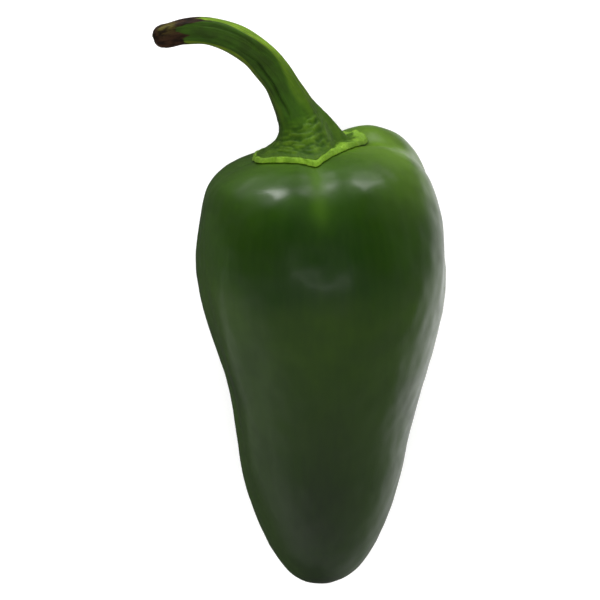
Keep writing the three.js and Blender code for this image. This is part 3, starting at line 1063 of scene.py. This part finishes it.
class ChilliSettings(bpy.types.PropertyGroup):
    """Sizes and colours of the pepper."""

    pod_sides: count_property("Pod sides", "Points round the pod's skin", 320)
    pod_rows: count_property("Pod rows", "Rows of points from the pod's tip to its crown", 250)
    stem_sides: count_property("Stem sides", "Points round the calyx and stalk", 240)
    unevenness: relief_property("Unevenness", "How far the pod's soft lumps stand out", 0.35)
    pucker: relief_property("Pucker", "Height of the small folds in the skin round the calyx", 0.07)
    wrinkle: relief_property("Wrinkle", "Height of the wrinkles in the calyx's flare", 0.13)
    pod_colour: colour_property("Pod", "Skin over most of the pod", (33, 54, 3))
    pod_tip_colour: colour_property("Pod tip", "Skin near the tip", (25, 35, 18))
    pod_patch_colour: colour_property("Pod patches", "Cloudy patches in the skin", (22, 40, 6))
    # Painted shade: the band under the shoulder, where the skin reflects little light.
    deep_shade_colour: colour_property("Deep band", "Skin under the shoulder", (12, 37, 0))
    # Painted light on the sides.
    flank_light_colour: colour_property("Flanks", "Skin on the sides", (48, 76, 10))
    shoulder_colour: colour_property("Shoulder", "Skin near the crown", (36, 64, 6))
    furrow_colour: colour_property("Furrow", "Skin in the furrows near the crown", (62, 94, 12))
    pale_colour: colour_property("Pale lobe", "Crown of the lobe behind", (82, 114, 20))
    stalk_colour: colour_property("Stalk", "Most of the stalk", (36, 55, 11))
    # Painted light on the stalk's outer side and on the flare's raised wrinkles.
    ridge_highlight_colour: colour_property("Ridge", "The stalk's outer ridge", (104, 134, 30))
    inner_colour: colour_property("Inner edge", "The inside of the stalk's bend", (88, 106, 22))
    # Painted shade in grooves and folds, and the colour of the fine growth streaks.
    groove_shade_and_fibre_colour: colour_property("Groove", "Grooves and folds in the stalk and flare", (24, 40, 8))
    flare_colour: colour_property("Flare", "The wrinkled flare of the calyx", (44, 74, 12))
    rim_colour: colour_property("Rim", "The calyx's flat rim", (90, 124, 28))
    rim_pale_colour: colour_property("Rim, pale", "Paler places in the rim", (112, 146, 42))
    dried_colour: colour_property("Dried end", "Dried tissue at the cut end", (44, 28, 16))
    olive_colour: colour_property("Olive strip", "Half dried tissue near the cut end", (74, 70, 22))
    crack_colour: colour_property("Dried cracks", "Dark places in the dried tissue", (18, 11, 6))


class StageSettings(bpy.types.PropertyGroup):
    """The floor, the light and the surroundings."""

    floor_size: bpy.props.FloatProperty(
        name="Floor size", description="Side of the square floor", default=6, min=1, unit="LENGTH")
    light_power: bpy.props.FloatProperty(
        name="Light power", description="Power of the overhead light; the others follow it",
        default=22, min=0, unit="POWER")
    floor_colour: colour_property("Floor", "The pale floor", (208, 208, 207))
    floor_dim_gloss: colour_property("Floor in gloss", "The floor as gloss shows it", (62, 62, 62))
    # Painted reflections: the bright floor patches that only gloss sees.
    floor_lit_gloss: colour_property("Lit floor in gloss", "Its lit side as gloss shows it", (250, 250, 250))
    left_colour: colour_property("Left", "The surroundings on the left", (75, 75, 75))
    right_colour: colour_property("Right", "The surroundings on the right", (140, 140, 140))
    left_tip_colour: colour_property("Left, tip side", "The same, on the tip's side", (245, 245, 245))
    right_tip_colour: colour_property("Right, tip side", "The same, on the tip's side", (165, 165, 165))
    tip_side_colour: colour_property("Tip side", "What is over the floor on the tip's side", (138, 138, 138))
    stem_side_colour: colour_property("Stem side", "What is over the floor on the stem's side", (24, 25, 25))


class CHILLI_OT_pod(bpy.types.Operator):
    """Builds the pod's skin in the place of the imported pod"""

    bl_idname = "chilli.pod"
    bl_label = "Build the pod"

    def execute(self, context):
        settings = context.scene.chilli
        pod = pod_piece(settings)
        pod.data.materials.append(pod_material(settings))
        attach(pod, "root")
        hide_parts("pod")
        return {"FINISHED"}


class CHILLI_OT_stem(bpy.types.Operator):
    """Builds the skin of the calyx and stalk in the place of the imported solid"""

    bl_idname = "chilli.stem"
    bl_label = "Build the calyx and stalk"

    def execute(self, context):
        settings = context.scene.chilli
        stem = stem_piece(settings)
        stem.data.materials.append(stem_material(settings))
        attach(stem, "root")
        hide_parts("stem_and_calyx")
        return {"FINISHED"}


class CHILLI_OT_stage(bpy.types.Operator):
    """Sets up the floor, the lights and the camera"""

    bl_idname = "chilli.stage"
    bl_label = "Set up the stage"

    def execute(self, context):
        build_stage(context.scene.chilli_stage)
        return {"FINISHED"}


class CHILLI_PT_build(bpy.types.Panel):
    """Lists the pieces of the pepper and its stage"""

    bl_idname = "CHILLI_PT_build"
    bl_label = "Chilli pepper"
    bl_space_type = "VIEW_3D"
    bl_region_type = "UI"
    bl_category = "Chilli"

    def draw(self, context):
        layout = self.layout
        for operator in (CHILLI_OT_pod, CHILLI_OT_stem, CHILLI_OT_stage):
            layout.operator(operator.bl_idname)
        for settings in (context.scene.chilli, context.scene.chilli_stage):
            box = layout.box()
            for name in settings.__annotations__:
                box.prop(settings, name)


CLASSES = (ChilliSettings, StageSettings, CHILLI_OT_pod, CHILLI_OT_stem, CHILLI_OT_stage, CHILLI_PT_build)


def register():
    for item in CLASSES:
        bpy.utils.register_class(item)
    bpy.types.Scene.chilli = bpy.props.PointerProperty(type=ChilliSettings)
    bpy.types.Scene.chilli_stage = bpy.props.PointerProperty(type=StageSettings)


def unregister():
    del bpy.types.Scene.chilli_stage
    del bpy.types.Scene.chilli
    for item in reversed(CLASSES):
        bpy.utils.unregister_class(item)


def main():
    register()
    bpy.ops.chilli.pod()
    bpy.ops.chilli.stem()
    bpy.ops.chilli.stage()


if __name__ == "__main__":
    main()
